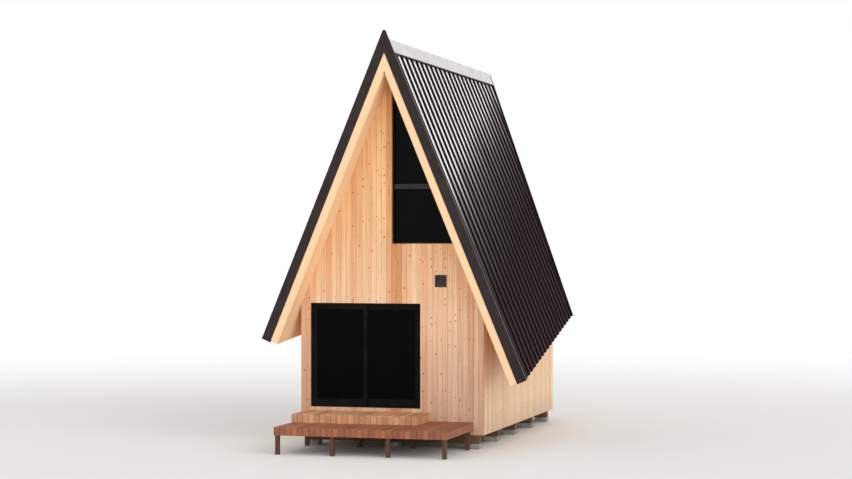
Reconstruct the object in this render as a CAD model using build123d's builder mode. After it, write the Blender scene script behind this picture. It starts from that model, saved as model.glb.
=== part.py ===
from build123d import *
import math
import os

os.makedirs("parts", exist_ok=True)

# An A-frame cabin. Lengths are in millimetres: X runs to the right along the front wall,
# Y from the face of the front wall to the back, and Z up from the ground.

# Plan and heights
cabin_width = 4400
floor_level = 900
wall_base = 323
wall_top = 3398
wall_thickness = 200
ridge_run = 9200
party_angle = math.radians(54.5)

# Roof, with its depths measured square to the slope from the outer face of the pans
pitch = math.radians(67.5)
front_overhang = 600
sheet_thickness = 12
panel_depth = 178
soffit_depth = 163
left_eave_height = 2520
right_eave_height = 1650
left_eave_climb = 980
right_eave_climb = 1500

# Standing seams, metal trims and the ridge cap
first_seam = 178
seam_spacing = 427
seam_stem = 12
seam_head = 24
seam_head_height = 12
seam_height = 42
metal_trim = 25
trim_return = 70
trim_fold = 8
cap_lift = 46
cap_leg = 360
cap_plate = 30
ridge_flat_drop = 190
rake_tip_width = 60

# Front window, a right triangle beside the centre line
window_sill_height = 4732
window_centre_gap = 12
window_roof_margin = 80
window_frame_width = 55
window_frame_depth = 130
window_setback = 25
transom_height = 6062
transom_depth = 110
pane_thickness = 28

# Sliding door
door_pier_width = 214
door_width = 2685
door_height = 2440
door_frame_width = 60
door_frame_depth = 160
door_setback = 20
stile_width = 85
bottom_rail = 160
leaf_thickness = 52
leaf_overlap = 60
leaf_clearance = 6
track_gap = 8
rail_height = 14
rail_width = 10
channel_width = 26
guide_depth = 18
roller_radius = 14
roller_width = 12
roller_clearance = 0.3
roller_inset = 180
axle_radius = 4
handle_height = 1050
handle_length = 400
handle_width = 26
handle_reach = 38
handle_post = 18

# Wall vent
vent_size = 285
vent_rim = 40
vent_depth = 60
vent_lip = 22
vent_from_corner = 1010
vent_height = 3866
vent_blades = 5
blade_thickness = 8
blade_tilt = 40

# Floors and what carries them
platform_depth = 300
loft_height = 3650
loft_depth = 250
bearer_width = 100
beam_size = 200
beam_inset = 100
beam_count = 5
short_beam_setback = 450
short_beam_length = 900
pier_size = 320

# Decks
step_top = 820
step_past_door = 231
step_run = 1150
deck_top = 620
deck_left_inset = 150
deck_right_inset = 250
deck_run = 2350
deck_frame_depth = 190
board_thickness = 28
board_overhang = 12
joist_width = 45
joist_fit = 0.3
rim_width = 45
joist_spacing = 520
post_size = 90
posts_in_row = 4
post_inset = 60
rear_post_row = 260
deck_beam_depth = 95

half_width = cabin_width / 2
slope = math.tan(pitch)
roof_depth = panel_depth + soffit_depth
roof_peak = wall_top + slope * half_width + roof_depth / math.cos(pitch)
ridge_flat_height = roof_peak - ridge_flat_drop
cap_foot = ridge_flat_drop / math.sin(pitch) + cap_leg
slope_reach = roof_peak / math.sin(pitch)
eave_height = {"left": left_eave_height, "right": right_eave_height}
roof_length = ridge_run + front_overhang
eave_climb = {"left": left_eave_climb, "right": right_eave_climb}


def roof_height(x, depth=0.0):
    """Height of the plane that lies a depth below the outer roof face, at a distance from the ridge."""
    return roof_peak - slope * abs(x) - depth / math.cos(pitch)


def roof_half_span(height, depth=0.0):
    """Distance from the ridge line at which that plane stands at a height."""
    return (roof_peak - depth / math.cos(pitch) - height) / slope


def side_sign(side):
    """Plus one on the right of the ridge and minus one on the left."""
    return 1 if side == "right" else -1


def slope_plane(side, lift=0.0):
    """Plane in one roof slope, raised square to it: its x axis runs down the slope."""
    sign = side_sign(side)
    down = (sign * math.cos(pitch), 0, -math.sin(pitch))
    outward = (sign * math.sin(pitch), 0, math.cos(pitch))
    return Plane(origin=(0, 0, roof_peak), x_dir=down, z_dir=outward).offset(lift)


def ridge_plane(side):
    """Upright plane under the ridge, facing its own side."""
    return Plane(origin=(0, 0, 0), x_dir=(0, 1, 0), z_dir=(side_sign(side), 0, 0))


def party_plane(side, shift=0.0):
    """Upright plane of a party wall's outer face, facing away from the cabin."""
    sign = side_sign(side)
    outward = (sign * math.cos(party_angle), math.sin(party_angle), 0)
    return Plane(origin=(0, ridge_run, 0), x_dir=(0, 0, 1), z_dir=outward).offset(shift)


def eave_plane(side, shift=0.0):
    """Plane of the eave cut: square to the roof, and climbing from the front to the back."""
    sign = side_sign(side)
    climb = eave_climb[side] / roof_length / math.sin(pitch)
    down = Vector(sign * math.cos(pitch), climb, -math.sin(pitch)).normalized()
    reach = roof_half_span(eave_height[side])
    start = (sign * reach, -front_overhang, eave_height[side])
    along = Vector(sign * math.sin(pitch), 0, math.cos(pitch))
    return Plane(origin=start, x_dir=along, z_dir=down).offset(shift)


def trim_to_roof(side, eave_shift=0.0, party_shift=0.0, top=ridge_flat_height):
    """Cut the part in hand at the ridge, at its top, at the party wall and at the eave."""
    split(bisect_by=ridge_plane(side), keep=Keep.TOP)
    split(bisect_by=Plane.XY.offset(top), keep=Keep.BOTTOM)
    split(bisect_by=party_plane(side, party_shift), keep=Keep.BOTTOM)
    split(bisect_by=eave_plane(side, eave_shift), keep=Keep.BOTTOM)


def slope_layer(side, top_depth, bottom_depth, eave_shift=0.0):
    """A layer of the roof between two depths, cut to the outline of its slope."""
    with BuildPart() as layer:
        with BuildSketch(slope_plane(side, -bottom_depth)):
            with Locations((slope_reach / 2, side_sign(side) * (ridge_run - front_overhang) / 2)):
                Rectangle(2 * slope_reach, roof_length)
        extrude(amount=bottom_depth - top_depth)
        trim_to_roof(side, eave_shift)
    return layer.part


def save(piece, name):
    """Label a finished piece and write it to its file."""
    piece.label = name
    export_step(piece, f"parts/{name}.step")


# Roof panels, and the timber soffit and lining under them
for side in ("left", "right"):
    with BuildPart() as roof_panel:
        add(slope_layer(side, sheet_thickness, panel_depth))
    save(roof_panel.part, f"roof_panel_{side}")

    with BuildPart() as roof_soffit:
        add(slope_layer(side, panel_depth, roof_depth))
    save(roof_soffit.part, f"roof_soffit_{side}")


def down_plane(side, reach=0.0):
    """Plane across one slope at a distance below the peak: x runs back and y is square to the roof."""
    sign = side_sign(side)
    down = Vector(sign * math.cos(pitch), 0, -math.sin(pitch))
    start = Vector(0, 0, roof_peak) + down * reach
    return Plane(origin=start, x_dir=(0, 1, 0), z_dir=down)


# Roof sheets: pans with folded standing seams that run down the slope from the foot of the ridge cap
seam_count = 1 + int((roof_length - first_seam) / seam_spacing)
for side in ("left", "right"):
    sign = side_sign(side)
    with BuildPart() as roof_sheet:
        add(slope_layer(side, 0, sheet_thickness, metal_trim))
        with BuildSketch(down_plane(side, cap_foot)):
            for index in range(seam_count):
                seam_y = first_seam + index * seam_spacing - front_overhang
                with Locations((seam_y, sign * seam_height / 2)):
                    Rectangle(seam_stem, seam_height)
                head_y = seam_y + (seam_head - seam_stem) / 2
                with Locations((head_y, sign * (seam_height - seam_head_height / 2))):
                    Rectangle(seam_head, seam_head_height)
        extrude(amount=slope_reach)
        trim_to_roof(side, metal_trim)
    save(roof_sheet.part, f"roof_sheet_{side}")


# Metal trims: the front rake with its fold over the pans, the rear edge and the eave
rake_tip_height = roof_height(rake_tip_width / 2, -cap_lift)
half_span_at_ground = roof_half_span(0)
for side in ("left", "right"):
    sign = side_sign(side)
    with BuildPart() as rake_trim:
        with BuildSketch(down_plane(side, -slope_reach)):
            with Locations((-front_overhang - metal_trim / 2, sign * (cap_lift - panel_depth) / 2)):
                Rectangle(metal_trim, cap_lift + panel_depth)
        extrude(amount=2 * slope_reach)
        with BuildSketch(down_plane(side, cap_foot)):
            with Locations((trim_return / 2 - front_overhang, sign * (cap_lift - trim_fold / 2))):
                Rectangle(trim_return, trim_fold)
        extrude(amount=slope_reach)
        trim_to_roof(side, metal_trim, top=rake_tip_height)
    save(rake_trim.part, f"rake_trim_{side}")

    with BuildPart() as rear_trim:
        corner_x = half_span_at_ground
        run = sign * corner_x / math.sin(party_angle)
        with BuildSketch(party_plane(side)):
            with BuildLine():
                Polyline(
                    (roof_height(0, -cap_lift), 0),
                    (roof_height(corner_x, -cap_lift), run),
                    (roof_height(corner_x, panel_depth), run),
                    (roof_height(0, panel_depth), 0),
                    close=True,
                )
            make_face()
        extrude(amount=metal_trim)
        trim_to_roof(side, metal_trim, metal_trim)
    save(rear_trim.part, f"rear_trim_{side}")

    with BuildPart() as eave_trim:
        add(slope_layer(side, sheet_thickness, panel_depth, metal_trim))
        split(bisect_by=eave_plane(side), keep=Keep.TOP)
    save(eave_trim.part, f"eave_trim_{side}")


# Ridge cap: a flat plate over the ridge with a leg down each slope
with BuildPart() as ridge_cap:
    leg_x = cap_foot * math.cos(pitch)
    leg_z = roof_peak - cap_foot * math.sin(pitch)
    flat_inside = roof_half_span(ridge_flat_height)
    flat_outside = roof_half_span(ridge_flat_height + cap_plate, -cap_lift)
    with BuildSketch(Plane.XZ.offset(front_overhang)):
        with BuildLine():
            Polyline(
                (0, ridge_flat_height + cap_plate),
                (flat_outside, ridge_flat_height + cap_plate),
                (leg_x + cap_lift * math.sin(pitch), leg_z + cap_lift * math.cos(pitch)),
                (leg_x, leg_z),
                (flat_inside, ridge_flat_height),
                (0, ridge_flat_height),
                close=True,
            )
        make_face()
        mirror(about=Plane.YZ)
    extrude(amount=-roof_length)
    for side in ("left", "right"):
        split(bisect_by=party_plane(side), keep=Keep.BOTTOM)
save(ridge_cap.part, "ridge_cap")


# Front wall, split beside and over the doorway
door_left = door_pier_width - half_width
door_right = door_left + door_width
door_head_height = floor_level + door_height


def front_block(left, right, bottom, top):
    """Piece of the front wall between two sides and two heights, inside the gable's outline."""
    with BuildPart() as block:
        with BuildSketch(Plane.XZ):
            with BuildLine():
                Polyline(
                    (-half_width, wall_base),
                    (half_width, wall_base),
                    (half_width, wall_top),
                    (0, roof_height(0, roof_depth)),
                    (-half_width, wall_top),
                    close=True,
                )
            make_face()
            with Locations(((left + right) / 2, (bottom + top) / 2)):
                Rectangle(right - left, top - bottom, mode=Mode.INTERSECT)
        extrude(amount=-wall_thickness)
    return block.part


with BuildPart() as front_wall_left:
    add(front_block(-half_width, door_left, wall_base, door_head_height))
save(front_wall_left.part, "front_wall_left")

with BuildPart() as front_wall_right:
    add(front_block(door_right, half_width, wall_base, door_head_height))
save(front_wall_right.part, "front_wall_right")

with BuildPart() as front_wall_base:
    add(front_block(door_left, door_right, wall_base, floor_level))
save(front_wall_base.part, "front_wall_base")


def window_outline(inset):
    """Corners of the window triangle, drawn in by an inset on every side."""
    left = window_centre_gap + inset
    bottom = window_sill_height + inset
    depth = roof_depth + window_roof_margin + inset
    return [(left, bottom), (roof_half_span(bottom, depth), bottom), (left, roof_height(left, depth))]


vent_x = half_width - vent_from_corner
with BuildPart() as front_gable_wall:
    add(front_block(-half_width, half_width, door_head_height, roof_peak))
    with BuildSketch(Plane.XZ):
        with BuildLine():
            Polyline(*window_outline(0), close=True)
        make_face()
        with Locations((vent_x, vent_height)):
            Rectangle(vent_size - 2 * vent_lip, vent_size - 2 * vent_lip)
    extrude(amount=-wall_thickness, mode=Mode.SUBTRACT)
save(front_gable_wall.part, "front_gable_wall")


# Side walls, cut by the roof above and by the party walls behind
for side in ("left", "right"):
    sign = side_sign(side)
    inner_x = half_width - wall_thickness
    with BuildPart() as side_wall:
        with BuildSketch(Plane.XZ.offset(-wall_thickness)):
            with BuildLine():
                Polyline(
                    (sign * inner_x, wall_base),
                    (sign * half_width, wall_base),
                    (sign * half_width, wall_top),
                    (sign * inner_x, roof_height(inner_x, roof_depth)),
                    close=True,
                )
            make_face()
        extrude(amount=-ridge_run)
        split(bisect_by=party_plane(side, -wall_thickness), keep=Keep.BOTTOM)
    save(side_wall.part, f"side_wall_{side}")

    with BuildPart() as party_wall:
        with BuildSketch(Plane.XY.offset(wall_base)):
            with Locations((sign * half_width / 2, ridge_run / 2)):
                Rectangle(half_width, ridge_run)
        extrude(amount=roof_peak)
        split(bisect_by=party_plane(side), keep=Keep.BOTTOM)
        split(bisect_by=party_plane(side, -wall_thickness), keep=Keep.TOP)
        split(bisect_by=slope_plane(side, -roof_depth), keep=Keep.BOTTOM)
    save(party_wall.part, f"party_wall_{side}")


# Floors inside the walls
def floor_slab(bottom, depth):
    """Floor that fills the plan between the inner faces of the walls."""
    with BuildPart() as slab:
        with BuildSketch(Plane.XY.offset(bottom)):
            with Locations((0, (ridge_run + wall_thickness) / 2)):
                Rectangle(cabin_width - 2 * wall_thickness, ridge_run - wall_thickness)
        extrude(amount=depth)
        for side in ("left", "right"):
            split(bisect_by=party_plane(side, -wall_thickness), keep=Keep.BOTTOM)
    return slab.part


with BuildPart() as floor_platform:
    add(floor_slab(floor_level - platform_depth, platform_depth))
save(floor_platform.part, "floor_platform")

with BuildPart() as loft_floor:
    add(floor_slab(loft_height - loft_depth, loft_depth))
save(loft_floor.part, "loft_floor")

# Bearers along the cabin, beams across it and short piers on the ground
rear_corner = ridge_run - half_width / math.tan(party_angle)
last_beam = rear_corner - pier_size / 2
beam_spacing = (last_beam - beam_inset) / (beam_count - 1)
beam_rows = [beam_inset + index * beam_spacing for index in range(beam_count)]
short_beam_row = ridge_run - short_beam_setback
with BuildPart() as floor_bearers:
    with BuildSketch(Plane.XY.offset(wall_base)):
        for x in (-1, 0, 1):
            bearer_x = x * (half_width - wall_thickness - bearer_width / 2)
            with Locations((bearer_x, (wall_thickness + last_beam) / 2)):
                Rectangle(bearer_width, last_beam - wall_thickness)
    extrude(amount=floor_level - platform_depth - wall_base)
save(floor_bearers.part, "floor_bearers")

beam_length = cabin_width - 2 * beam_inset
with BuildPart() as base_beams:
    with BuildSketch(Plane.XY.offset(wall_base - beam_size)):
        for y in beam_rows:
            with Locations((0, y)):
                Rectangle(beam_length, beam_size)
        with Locations((0, short_beam_row)):
            Rectangle(short_beam_length, beam_size)
    extrude(amount=beam_size)
save(base_beams.part, "base_beams")

with BuildPart() as foundation_piers:
    with BuildSketch():
        for y in beam_rows:
            for x in (-1, 0, 1):
                with Locations((x * (beam_length - pier_size) / 2, y)):
                    Rectangle(pier_size, pier_size)
        with Locations((0, short_beam_row)):
            Rectangle(pier_size, pier_size)
    extrude(amount=wall_base - beam_size)
save(foundation_piers.part, "foundation_piers")


# Front window: frame, transom and two panes
with BuildPart() as window_frame:
    with BuildSketch(Plane.XZ.offset(-window_setback)):
        with BuildLine():
            Polyline(*window_outline(0), close=True)
        make_face()
        with BuildLine():
            Polyline(*window_outline(window_frame_width), close=True)
        make_face(mode=Mode.SUBTRACT)
    extrude(amount=-window_frame_depth)
save(window_frame.part, "window_frame")


def window_piece(bottom, top, setback, depth):
    """Slice of the window's clear triangle between two heights."""
    with BuildPart() as piece:
        with BuildSketch(Plane.XZ.offset(-setback)):
            with BuildLine():
                Polyline(*window_outline(window_frame_width), close=True)
            make_face()
        extrude(amount=-depth)
        split(bisect_by=Plane.XY.offset(bottom), keep=Keep.TOP)
        split(bisect_by=Plane.XY.offset(top), keep=Keep.BOTTOM)
    return piece.part


pane_setback = window_setback + (window_frame_depth - pane_thickness) / 2
transom_top = transom_height + transom_depth / 2
transom_bottom = transom_height - transom_depth / 2
with BuildPart() as window_transom:
    add(window_piece(transom_bottom, transom_top, window_setback, window_frame_depth))
save(window_transom.part, "window_transom")

with BuildPart() as window_glass_upper:
    add(window_piece(transom_top, roof_peak, pane_setback, pane_thickness))
save(window_glass_upper.part, "window_glass_upper")

with BuildPart() as window_glass_lower:
    add(window_piece(0, transom_bottom, pane_setback, pane_thickness))
save(window_glass_lower.part, "window_glass_lower")


# Wall vent: a square hood with sloping blades
with BuildPart() as wall_vent:
    with BuildSketch(Plane.XZ):
        with Locations((vent_x, vent_height)):
            Rectangle(vent_size, vent_size)
            Rectangle(vent_size - 2 * vent_rim, vent_size - 2 * vent_rim, mode=Mode.SUBTRACT)
    extrude(amount=vent_lip)
    with BuildSketch(Plane.XZ):
        with Locations((vent_x, vent_height)):
            Rectangle(vent_size - 2 * vent_lip, vent_size - 2 * vent_lip)
            Rectangle(vent_size - 2 * vent_rim, vent_size - 2 * vent_rim, mode=Mode.SUBTRACT)
    extrude(amount=-vent_depth)
    vent_clear = vent_size - 2 * vent_rim
    blade_pitch = vent_clear / vent_blades
    with BuildSketch(Plane.YZ.offset(vent_x - vent_clear / 2)):
        for index in range(vent_blades):
            blade_z = vent_height - vent_clear / 2 + (index + 0.5) * blade_pitch
            with Locations((vent_depth / 2 - vent_lip, blade_z)):
                Rectangle(vent_depth, blade_thickness, rotation=blade_tilt)
    extrude(amount=vent_clear)
save(wall_vent.part, "wall_vent")


# Door frame: head, jambs and a sill with the running rail
frame_inner_left = door_left + door_frame_width
frame_inner_right = door_right - door_frame_width
frame_inner_top = door_head_height - door_frame_width
sill_top = floor_level + door_frame_width / 2


def door_block(left, right, bottom, top, front=door_setback, depth=door_frame_depth):
    """Upright block of the door, from a distance behind the wall's face."""
    with BuildPart() as block:
        with BuildSketch(Plane.XZ.offset(-front)):
            with Locations(((left + right) / 2, (bottom + top) / 2)):
                Rectangle(right - left, top - bottom)
        extrude(amount=-depth)
    return block.part


with BuildPart() as door_jambs:
    add(door_block(door_left, frame_inner_left, floor_level, frame_inner_top))
    add(door_block(frame_inner_right, door_right, floor_level, frame_inner_top))
save(door_jambs.part, "door_jambs")

leaf_width = (frame_inner_right - frame_inner_left + leaf_overlap) / 2
fixed_front = door_setback + (door_frame_depth - 2 * leaf_thickness - track_gap) / 2
sliding_front = fixed_front + leaf_thickness + track_gap
rail_centre = sliding_front + leaf_thickness / 2
rail_front = rail_centre - rail_width / 2
guide_bottom = frame_inner_top - guide_depth
with BuildPart() as door_head:
    add(door_block(door_left, door_right, frame_inner_top, door_head_height))
    fin_span = (frame_inner_left, frame_inner_right)
    add(door_block(*fin_span, guide_bottom, frame_inner_top, rail_front, rail_width))
save(door_head.part, "door_head")

rail_top = sill_top + rail_height
with BuildPart() as door_sill:
    add(door_block(frame_inner_left, frame_inner_right, floor_level, sill_top))
    add(door_block(*fin_span, sill_top, rail_top, rail_front, rail_width))
save(door_sill.part, "door_sill")


# Door leaves: a fixed one on the left and a sliding one behind it on the right
def leaf_frame(left, bottom, top, front):
    """Rectangular frame of one leaf with its glazing hole."""
    glass_bottom = bottom + bottom_rail
    glass_top = top - stile_width
    with BuildPart() as leaf:
        with BuildSketch(Plane.XZ.offset(-front)):
            with Locations((left + leaf_width / 2, (bottom + top) / 2)):
                Rectangle(leaf_width, top - bottom)
            with Locations((left + leaf_width / 2, (glass_bottom + glass_top) / 2)):
                Rectangle(leaf_width - 2 * stile_width, glass_top - glass_bottom, mode=Mode.SUBTRACT)
        extrude(amount=-leaf_thickness)
    return leaf.part


def leaf_glass(left, bottom, top, front):
    """Pane that fills the glazing hole of one leaf."""
    pane_front = front + (leaf_thickness - pane_thickness) / 2
    inner_left = left + stile_width
    inner_right = left + leaf_width - stile_width
    return door_block(
        inner_left, inner_right, bottom + bottom_rail, top - stile_width, pane_front, pane_thickness
    )


with BuildPart() as fixed_leaf:
    add(leaf_frame(frame_inner_left, sill_top, frame_inner_top, fixed_front))
save(fixed_leaf.part, "fixed_leaf")

with BuildPart() as fixed_glass:
    add(leaf_glass(frame_inner_left, sill_top, frame_inner_top, fixed_front))
save(fixed_glass.part, "fixed_glass")

sliding_left = frame_inner_right - leaf_width - leaf_clearance
sliding_bottom = sill_top + leaf_clearance
sliding_top = frame_inner_top - leaf_clearance
roller_centre_height = rail_top + roller_clearance + roller_radius
channel_top = roller_centre_height + roller_radius + leaf_clearance / 2
guide_floor = guide_bottom - leaf_clearance
with BuildPart() as sliding_leaf:
    add(leaf_frame(sliding_left, sliding_bottom, sliding_top, sliding_front))
    with BuildSketch(Plane.XZ.offset(-(rail_centre - channel_width / 2))):
        for low, high in ((sliding_bottom, channel_top), (guide_floor, sliding_top)):
            with Locations((sliding_left + leaf_width / 2, (low + high) / 2)):
                Rectangle(leaf_width, high - low)
    extrude(amount=-channel_width, mode=Mode.SUBTRACT)
save(sliding_leaf.part, "sliding_leaf")

with BuildPart() as sliding_glass:
    add(leaf_glass(sliding_left, sliding_bottom, sliding_top, sliding_front))
save(sliding_glass.part, "sliding_glass")

with BuildPart() as door_rollers:
    roller_spots = [
        (sliding_left + roller_inset, roller_centre_height),
        (sliding_left + leaf_width - roller_inset, roller_centre_height),
    ]
    with BuildSketch(Plane.XZ.offset(-(rail_centre - roller_width / 2))):
        with Locations(*roller_spots):
            Circle(roller_radius)
    extrude(amount=-roller_width)
    with BuildSketch(Plane.XZ.offset(-(rail_centre - channel_width / 2))):
        with Locations(*roller_spots):
            Circle(axle_radius)
    extrude(amount=-channel_width)
save(door_rollers.part, "door_rollers")

# Pull handles on both faces of the closing stile
handle_x = sliding_left + leaf_width - stile_width / 2
handle_z = floor_level + handle_height
with BuildPart() as door_handles:
    for face, outward in ((sliding_front, 1), (sliding_front + leaf_thickness, -1)):
        with BuildSketch(Plane.XZ.offset(-face)):
            for end in (-1, 1):
                with Locations((handle_x, handle_z + end * (handle_length - handle_width) / 2)):
                    Rectangle(handle_post, handle_post)
        extrude(amount=outward * (handle_reach - handle_width / 2))
        with BuildSketch(Plane.XZ.offset(-face + outward * (handle_reach - handle_width / 2))):
            with Locations((handle_x, handle_z)):
                Rectangle(handle_width, handle_length)
        extrude(amount=outward * handle_width / 2)
save(door_handles.part, "door_handles")


# Decks: an upper step standing on a lower deck with posts to the ground
def deck_frame(left, right, run, bottom, depth):
    """Front rim board, and the joists that run back from it to the wall as boards of their own."""
    joist_gaps = max(1, round((right - left) / joist_spacing))
    joist_length = run - rim_width - joist_fit
    with BuildPart() as frame:
        with BuildSketch(Plane.XY.offset(bottom)):
            with Locations(((left + right) / 2, rim_width / 2 - run)):
                Rectangle(right - left, rim_width)
            for index in range(joist_gaps + 1):
                joist_x = left + joist_width / 2 + index * (right - left - joist_width) / joist_gaps
                with Locations((joist_x, -joist_length / 2)):
                    Rectangle(joist_width, joist_length)
        extrude(amount=depth)
    return frame.part


def deck_boards(left, right, run, top):
    """Decking that covers a frame and stands a little past its rim."""
    with BuildPart() as boards:
        with BuildSketch(Plane.XY.offset(top - board_thickness)):
            with Locations(((left + right) / 2, -(run + board_overhang) / 2)):
                Rectangle(right - left + 2 * board_overhang, run + board_overhang)
        extrude(amount=board_thickness)
    return boards.part


deck_left = deck_left_inset - half_width
deck_right = half_width - deck_right_inset
step_right = door_right + step_past_door
with BuildPart() as upper_step_frame:
    add(deck_frame(deck_left, step_right, step_run, deck_top, step_top - board_thickness - deck_top))
save(upper_step_frame.part, "upper_step_frame")

with BuildPart() as upper_step_boards:
    add(deck_boards(deck_left, step_right, step_run, step_top))
save(upper_step_boards.part, "upper_step_boards")

frame_bottom = deck_top - deck_frame_depth
with BuildPart() as lower_deck_frame:
    add(deck_frame(deck_left, deck_right, deck_run, frame_bottom, deck_frame_depth - board_thickness))
save(lower_deck_frame.part, "lower_deck_frame")

with BuildPart() as lower_deck_boards:
    add(deck_boards(deck_left, deck_right, deck_run, deck_top))
save(lower_deck_boards.part, "lower_deck_boards")

with BuildPart() as deck_posts:
    deck_centre = (deck_left + deck_right) / 2
    post_spacing = (deck_right - deck_left - 2 * post_inset) / (posts_in_row - 1)
    beam_bottom = frame_bottom - deck_beam_depth
    for row, post_top in ((deck_run - post_inset, frame_bottom), (rear_post_row, beam_bottom)):
        with BuildSketch():
            with Locations((deck_centre, -row)):
                with GridLocations(post_spacing, post_size, posts_in_row, 1):
                    Rectangle(post_size, post_size)
        extrude(amount=post_top)
    with BuildSketch(Plane.XY.offset(beam_bottom)):
        with Locations((deck_centre, -rear_post_row)):
            Rectangle(deck_right - deck_left, post_size)
    extrude(amount=deck_beam_depth)
save(deck_posts.part, "deck_posts")
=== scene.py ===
"""Finishes for an A-frame cabin: boards, coated metal, glass, decks, and a plain studio stage.

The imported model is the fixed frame. Every length is in metres: X runs to the right along the
front wall, Y from the front wall to the back along the ridge, and Z up from the ground.
"""

import math
from functools import partial

import bpy
import numpy as np
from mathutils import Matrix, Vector


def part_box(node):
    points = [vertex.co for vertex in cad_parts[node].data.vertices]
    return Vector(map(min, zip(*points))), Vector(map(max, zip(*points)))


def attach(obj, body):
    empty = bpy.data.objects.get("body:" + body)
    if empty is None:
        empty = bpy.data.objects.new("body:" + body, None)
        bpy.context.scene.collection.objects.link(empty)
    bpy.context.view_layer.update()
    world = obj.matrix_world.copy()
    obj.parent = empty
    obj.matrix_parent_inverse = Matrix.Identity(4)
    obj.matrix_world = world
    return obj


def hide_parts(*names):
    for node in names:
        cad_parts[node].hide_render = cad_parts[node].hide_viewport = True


bl_info = {
    "name": "A-Frame Cabin Finishes",
    "version": (1, 0, 0),
    "blender": (4, 5, 0),
    "location": "View3D > Sidebar > Cabin",
    "description": "Dresses the cabin in boards, coated metal and glass, and sets its stage",
    "category": "Object",
}

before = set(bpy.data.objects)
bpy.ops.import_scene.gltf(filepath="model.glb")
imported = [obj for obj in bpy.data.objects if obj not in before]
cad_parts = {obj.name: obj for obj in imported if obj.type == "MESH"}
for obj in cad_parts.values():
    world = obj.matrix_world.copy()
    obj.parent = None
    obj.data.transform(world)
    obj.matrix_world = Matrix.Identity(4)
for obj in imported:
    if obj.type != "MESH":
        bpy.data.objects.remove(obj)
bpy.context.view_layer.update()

# Sizes that the finishes share with the frame
PITCH = math.radians(67.5)
SLOPE, SLOPE_COS, SLOPE_SIN = math.tan(PITCH), math.cos(PITCH), math.sin(PITCH)
REAR_ANGLE = math.radians(54.5)
HALF_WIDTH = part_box("side_wall_right")[1].x
WALL_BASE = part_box("side_wall_right")[0].z
UNDER_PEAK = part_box("front_gable_wall")[1].z
WALL_TOP = UNDER_PEAK - SLOPE * HALF_WIDTH
RIDGE_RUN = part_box("party_wall_right")[1].y
CORNER_RUN = RIDGE_RUN - HALF_WIDTH / math.tan(REAR_ANGLE)
RAKE_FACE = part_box("roof_panel_right")[0].y
SOFFIT_DEPTH = 0.163
PANEL_DEPTH = 0.178
ROOF_DEPTH = SOFFIT_DEPTH + PANEL_DEPTH
ROOF_PEAK = UNDER_PEAK + ROOF_DEPTH / SLOPE_COS
SEAM_SPACING = 0.427
FIRST_SEAM = RAKE_FACE + 0.178
SCREW_HEAD = 0.0018
SIDES = (("left", -1), ("right", 1))


def linear(code):
    """Linear colour of an sRGB hex code."""
    values = np.array([int(code[i : i + 2], 16) for i in (0, 2, 4)]) / 255
    low = values / 12.92
    high = ((values + 0.055) / 1.055) ** 2.4
    return (*np.where(values <= 0.04045, low, high).tolist(), 1.0)


def per_metre(*millimetres):
    """Scale of a pattern with features so many millimetres apart: one figure, or one an axis."""
    scales = tuple(1000 / size for size in millimetres)
    return scales if len(scales) > 1 else scales[0]


# Settings that a user would change


def number_setting(name, description, default, **limits):
    """A number, with its unit or subtype and its limits where it has them."""
    return bpy.props.FloatProperty(name=name, description=description, default=default, **limits)


def length_setting(name, description, default, low):
    """A length, with the least that it may be."""
    return number_setting(name, description, default, min=low, unit="LENGTH")


def colour_setting(name, description, code):
    """A colour, given as an sRGB hex code."""
    return bpy.props.FloatVectorProperty(
        name=name,
        description=description,
        default=linear(code),
        subtype="COLOR",
        size=4,
        min=0,
        max=1,
    )


class CladdingSettings(bpy.types.PropertyGroup):
    """Sizes and colours of the wall and soffit boards."""

    board_width: length_setting("Board width", "Cover width of one wall board", 0.123, 0.05)
    board_thickness: length_setting("Board thickness", "How far boards stand off", 0.018, 0.005)
    groove_width: length_setting("Joint width", "Width of the joint between boards", 0.010, 0.001)
    pale: colour_setting("Pale board", "Colour of the palest boards", "f6cdaa")
    honey: colour_setting("Honey board", "Colour of most boards", "ecbb96")
    red: colour_setting("Red board", "Colour of the few reddish boards", "d89a70")


class RoofSettings(bpy.types.PropertyGroup):
    """Colours of the coated roof metal, of the painted sky reflection on its pans, and of its white
    ridge cap.
    """

    metal: colour_setting("Roof metal", "Colour of the coated pans and seams", "241618")
    trim: colour_setting("Trims", "Colour of the rake, eave and rear trims", "2a2222")
    # One white serves the ridge cap and the painted sky reflection that fades down the pans
    whiteness: colour_setting("Whiteness", "Colour of the frost below the ridge", "f3f1f3")
    reflection_line: length_setting(
        "Frost line", "Height at the front wall where half of the frost has gone", 5.75, 0
    )
    reflection_climb: number_setting(
        "Frost climb", "How far that line climbs in each metre towards the back", 0.30
    )


class DeckSettings(bpy.types.PropertyGroup):
    """Sizes and colours of the deck boards."""

    board_gap: length_setting("Board gap", "Gap between two deck boards", 0.005, 0.001)
    board_width: length_setting("Board width", "Width of a board with its gap", 0.139, 0.05)
    step_colour: colour_setting("Step", "Colour of the upper step's boards", "cf9872")
    deck_colour: colour_setting("Deck", "Colour of the lower deck's boards", "9a6044")


class StageSettings(bpy.types.PropertyGroup):
    """The plain floor, the light and the camera."""

    floor_colour: colour_setting("Floor", "Colour of the plain floor", "f4f3f1")
    sky_strength: number_setting("Sky", "Strength of the light from all round", 0.70, min=0)
    key_strength: number_setting("Key light", "Strength from the front right", 2.1, min=0)
    fill_strength: number_setting("Fill light", "Strength from the front left", 0.65, min=0)
    lens: number_setting(
        "Lens", "Focal length of the camera on a 36 mm sensor", 84.0, min=10, unit="CAMERA"
    )
    camera_rise: number_setting(
        "Camera rise", "How far the camera looks up", math.radians(0.16), subtype="ANGLE"
    )
    camera_turn: number_setting(
        "Camera turn", "How far the camera turns left", math.radians(15.55), subtype="ANGLE"
    )


# Surfaces


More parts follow.
